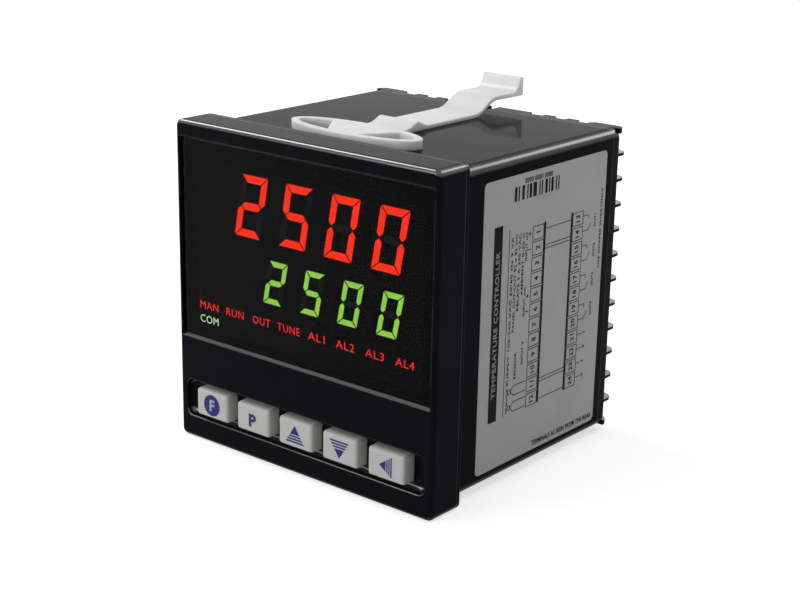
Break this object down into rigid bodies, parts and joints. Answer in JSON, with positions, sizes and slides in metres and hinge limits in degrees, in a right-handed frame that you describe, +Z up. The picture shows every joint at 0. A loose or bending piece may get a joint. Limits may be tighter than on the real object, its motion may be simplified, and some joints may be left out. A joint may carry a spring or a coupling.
{
  "type": "pid temperature controller",
  "caption": "Square panel-mount process controller with two rows of lit digits, a row of keys, a finned terminal block at the rear and a sliding nylon panel clamp.",
  "frame": {"origin": "middle of the object's footprint, on the surface that the bezel stands on", "axes": "+X to the right seen from the front, +Y rearward into the panel, +Z up"},
  "size_m": [0.096, 0.0944, 0.1034],
  "materials": {
    "case_sleeve": "gloss black moulding",
    "rear_terminal_block": "gloss black moulding",
    "terminal_screws": "plated steel",
    "terminal_clamps": "plated steel",
    "terminal_contacts": "tinned brass",
    "side_label": "grey printed film",
    "front_bezel": "gloss black moulding",
    "front_seal": "soft black rubber",
    "display_window": "smoked clear plastic",
    "upper_display_case": "matt black",
    "red_segments_lit": "glowing red",
    "red_segments_off": "dark segment",
    "lower_display_case": "matt black",
    "green_segments_lit": "glowing green",
    "green_segments_off": "dark segment",
    "indicator_light_guide": "matt black",
    "indicator_lamps": "clear lamp",
    "front_board": "green solder mask",
    "board_screws": "plated steel",
    "key_switches": "black plastic",
    "main_board": "green solder mask",
    "power_board": "green solder mask",
    "board_headers": "black plastic",
    "relays": "blue plastic",
    "supply_transformer": "ferrite and yellow tape",
    "supply_capacitors": "sleeved can",
    "controller_chips": "black resin",
    "function_key": "light grey rubber",
    "program_key": "light grey rubber",
    "raise_key": "light grey rubber",
    "lower_key": "light grey rubber",
    "shift_key": "light grey rubber",
    "mounting_clamp": "natural nylon"
  },
  "bodies": {
    "case": {"case_sleeve": "case_sleeve", "rear_terminal_block": "rear_terminal_block", "terminal_screws": "terminal_screws", "terminal_clamps": "terminal_clamps", "terminal_contacts": "terminal_contacts", "side_label": "side_label"},
    "front_module": {"front_bezel": "front_bezel", "front_seal": "front_seal", "display_window": "display_window", "upper_display_case": "upper_display_case", "red_segments_lit": "red_segments_lit", "red_segments_off": "red_segments_off", "lower_display_case": "lower_display_case", "green_segments_lit": "green_segments_lit", "green_segments_off": "green_segments_off", "indicator_light_guide": "indicator_light_guide", "indicator_lamps": "indicator_lamps", "front_board": "front_board", "board_screws": "board_screws", "key_switches": "key_switches", "main_board": "main_board", "power_board": "power_board", "board_headers": "board_headers", "relays": "relays", "supply_transformer": "supply_transformer", "supply_capacitors": "supply_capacitors", "controller_chips": "controller_chips"},
    "function_key": {"function_key": "function_key"},
    "program_key": {"program_key": "program_key"},
    "raise_key": {"raise_key": "raise_key"},
    "lower_key": {"lower_key": "lower_key"},
    "shift_key": {"shift_key": "shift_key"},
    "clamp": {"mounting_clamp": "mounting_clamp"}
  },
  "joints": [
    {"name": "module_draw_out", "type": "slide", "parent": "case", "child": "front_module", "axis": [0, -1, 0], "range_m": [0, 0.066]},
    {"name": "clamp_slide", "type": "slide", "parent": "case", "child": "clamp", "axis": [0, 1, 0], "range_m": [-0.0022, 0.0625]},
    {"name": "function_key_press", "type": "slide", "parent": "front_module", "child": "function_key", "axis": [0, 1, 0], "range_m": [0, 0.0008], "stiffness_N_per_m": 1800},
    {"name": "program_key_press", "type": "slide", "parent": "front_module", "child": "program_key", "axis": [0, 1, 0], "range_m": [0, 0.0008], "stiffness_N_per_m": 1800},
    {"name": "raise_key_press", "type": "slide", "parent": "front_module", "child": "raise_key", "axis": [0, 1, 0], "range_m": [0, 0.0008], "stiffness_N_per_m": 1800},
    {"name": "lower_key_press", "type": "slide", "parent": "front_module", "child": "lower_key", "axis": [0, 1, 0], "range_m": [0, 0.0008], "stiffness_N_per_m": 1800},
    {"name": "shift_key_press", "type": "slide", "parent": "front_module", "child": "shift_key", "axis": [0, 1, 0], "range_m": [0, 0.0008], "stiffness_N_per_m": 1800}
  ]
}
